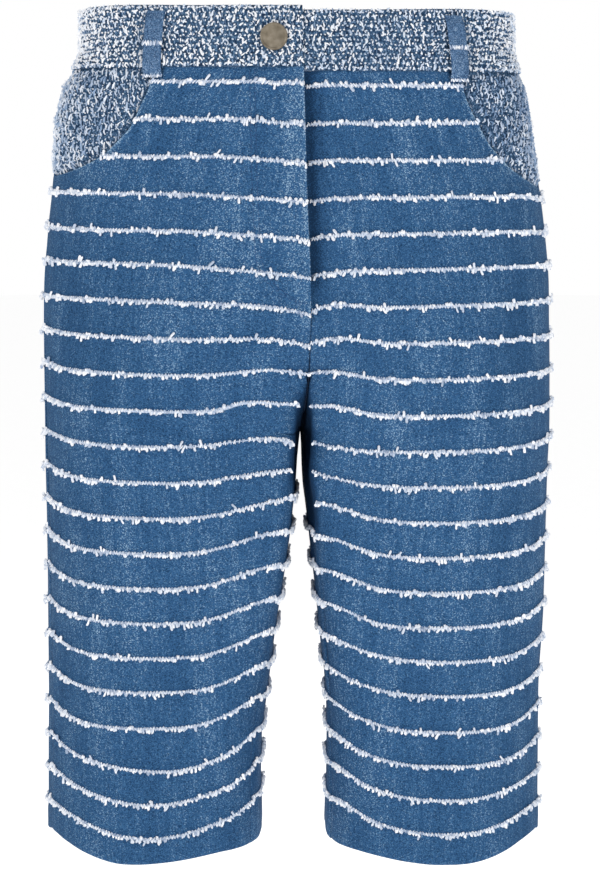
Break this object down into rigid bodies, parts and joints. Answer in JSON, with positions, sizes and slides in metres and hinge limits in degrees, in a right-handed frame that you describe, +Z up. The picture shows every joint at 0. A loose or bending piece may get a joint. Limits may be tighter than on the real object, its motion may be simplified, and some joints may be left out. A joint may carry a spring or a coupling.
{
  "type": "bermuda shorts",
  "caption": "Knee-length denim bermuda shorts with raised frayed bands round the legs, a tweed waistband and tweed hip pocket facings, filled out as worn and hollow inside.",
  "frame": {"origin": "middle of the waistband's hollow, half-way up the band, where the wearer's waist holds the garment", "axes": "+Z up towards the waist opening, -Y towards the garment's front, +X towards the wearer's left"},
  "size_m": [0.3628, 0.2414, 0.5896],
  "materials": {
    "denim": "washed twill",
    "tweed": "looped boucle weave",
    "button_metal": "antiqued nickel plate"
  },
  "bodies": {
    "root": {"front_right": "denim", "front_left": "denim", "back_right": "denim", "back_left": "denim", "pocket_facing_right": "tweed", "pocket_facing_left": "tweed", "waistband_right": "tweed", "waistband_left": "tweed", "belt_loop_front_right": "denim", "belt_loop_front_left": "denim", "belt_loop_side_right": "denim", "belt_loop_side_left": "denim", "belt_loop_back": "denim", "button": "button_metal"}
  },
  "joints": []
}
